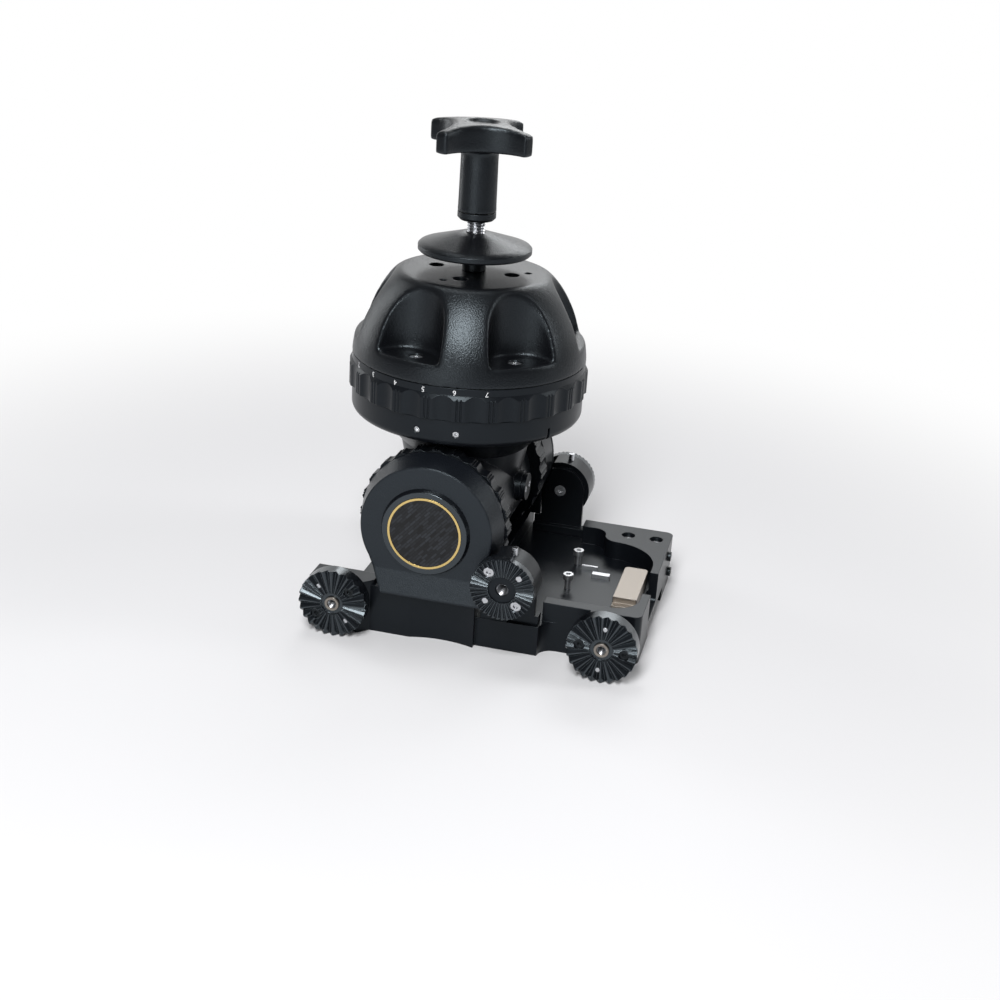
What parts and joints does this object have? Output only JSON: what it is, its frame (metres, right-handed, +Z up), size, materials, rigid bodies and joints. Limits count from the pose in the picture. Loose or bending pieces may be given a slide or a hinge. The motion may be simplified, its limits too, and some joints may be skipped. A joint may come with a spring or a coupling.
{
  "type": "fluid video head",
  "caption": "Fluid video head with a half ball and tie-down knob, standing on its camera platform, with toothed rosettes, drag rings, brakes and a sliding plate latch.",
  "frame": {"origin": "on the resting plane, below the crossing of the pan and tilt axes", "axes": "+X along the lens axis towards the latch, +Y along the tilt axis away from the badge, +Z up along the pan axis towards the tie-down knob"},
  "size_m": [0.2165, 0.194, 0.3126],
  "materials": {
    "powder_black": "fine-textured black powder coat",
    "anodised_black": "satin black anodised",
    "cheek_grey": "bead-blasted charcoal anodised",
    "black_steel": "black oxide",
    "bare_steel": "bright stainless",
    "bare_aluminium": "machined",
    "nickel": "satin nickel plate",
    "gold": "polished gold foil",
    "badge_black": "domed gloss black over a woven look",
    "brass": "machined"
  },
  "bodies": {
    "platform": {"platform": "anodised_black", "recess_bolts": "bare_steel", "latch_stop": "bare_steel", "wall_screws": "bare_steel", "end_screws": "black_steel", "near_cheek": "cheek_grey", "far_cheek": "cheek_grey", "badge_boss": "anodised_black", "badge_ring": "gold", "badge_disc": "badge_black", "near_ear": "anodised_black", "far_ear": "anodised_black", "near_handle_rosette": "anodised_black", "far_handle_rosette": "anodised_black", "handle_rosette_screws": "bare_steel", "handle_rosette_pins": "bare_steel", "ear_screws": "bare_steel", "ear_stop_pins": "bare_steel", "near_left_rosette": "anodised_black", "near_right_rosette": "anodised_black", "rosette_inserts": "nickel", "rosette_screws": "black_steel", "rosette_pins": "bare_steel", "tilt_shaft": "bare_steel", "tilt_drag_rotor": "bare_aluminium"},
    "tilt_unit": {"tilt_housing": "anodised_black", "far_drum": "anodised_black", "tilt_end_plate_near": "anodised_black", "tilt_end_plate_far": "anodised_black", "tilt_bearing_near": "bare_steel", "tilt_bearing_far": "bare_steel", "tilt_drag_stator": "bare_aluminium", "counterbalance_spring": "bare_steel", "flank_cap": "anodised_black", "flank_cap_screws": "bare_steel", "pan_base": "anodised_black", "pan_base_set_screws": "bare_steel", "pan_drag_stator": "bare_aluminium", "pan_bearing_upper": "bare_steel", "pan_bearing_lower": "bare_steel"},
    "ball": {"half_ball": "powder_black", "ball_pocket_bolts": "bare_steel", "ball_flat_bolts": "black_steel", "tie_down_stud": "bare_steel", "pan_spindle": "bare_aluminium", "pan_spindle_nut": "bare_steel", "pan_drag_rotor": "bare_aluminium"},
    "pan_drag_ring": {"pan_drag_ring": "powder_black"},
    "tilt_drag_ring": {"tilt_drag_ring": "powder_black"},
    "counterbalance_ring": {"counterbalance_ring": "powder_black"},
    "pan_brake_lever": {"pan_brake_lever": "powder_black"},
    "tilt_brake_lever": {"tilt_brake_lever": "powder_black"},
    "clamp_washer": {"clamp_washer": "powder_black"},
    "tie_down_lift": {"tie_down_thrust_ring": "powder_black"},
    "tie_down_knob": {"tie_down_knob": "powder_black", "tie_down_insert": "brass"},
    "plate_latch": {"plate_latch": "nickel"}
  },
  "joints": [
    {"name": "tilt", "type": "hinge", "parent": "platform", "child": "tilt_unit", "pos_m": [0, 0, 0.076], "axis": [0, 1, 0], "range_deg": [-80, 55]},
    {"name": "pan", "type": "hinge", "parent": "tilt_unit", "child": "ball", "pos_m": [0, 0, 0.1626], "axis": [0, 0, 1], "continuous": true},
    {"name": "pan_drag", "type": "hinge", "parent": "tilt_unit", "child": "pan_drag_ring", "pos_m": [0, 0, 0.1463], "axis": [0, 0, 1], "range_deg": [0, 114.5]},
    {"name": "tilt_drag", "type": "hinge", "parent": "tilt_unit", "child": "tilt_drag_ring", "pos_m": [0, 0, 0.076], "axis": [0, 1, 0], "range_deg": [0, 114.5]},
    {"name": "counterbalance", "type": "hinge", "parent": "tilt_unit", "child": "counterbalance_ring", "pos_m": [0, 0, 0.076], "axis": [0, 1, 0], "range_deg": [0, 114.5]},
    {"name": "pan_brake", "type": "hinge", "parent": "tilt_unit", "child": "pan_brake_lever", "pos_m": [0, 0.0748, 0.1375], "axis": [0, 1, 0], "range_deg": [-50, 0]},
    {"name": "tilt_brake", "type": "hinge", "parent": "platform", "child": "tilt_brake_lever", "pos_m": [0, 0.0853, 0.076], "axis": [0, 1, 0], "range_deg": [-50, 0]},
    {"name": "washer_slide", "type": "slide", "parent": "ball", "child": "clamp_washer", "axis": [0, 0, 1], "range_m": [0, 0.0075]},
    {"name": "tie_down_climb", "type": "slide", "parent": "ball", "child": "tie_down_lift", "axis": [0, 0, 1], "range_m": [-0.00701, 0.01051]},
    {"name": "tie_down_turn", "type": "hinge", "parent": "tie_down_lift", "child": "tie_down_knob", "pos_m": [0, 0, 0.26], "axis": [0, 0, 1], "range_deg": [-1440, 2160]},
    {"name": "latch_slide", "type": "slide", "parent": "platform", "child": "plate_latch", "axis": [0, 1, 0], "range_m": [0, 0.008]}
  ],
  "couplings": [
    {"joint": "tie_down_climb", "follows": "tie_down_turn", "m_per_rad": 0.00027852}
  ]
}
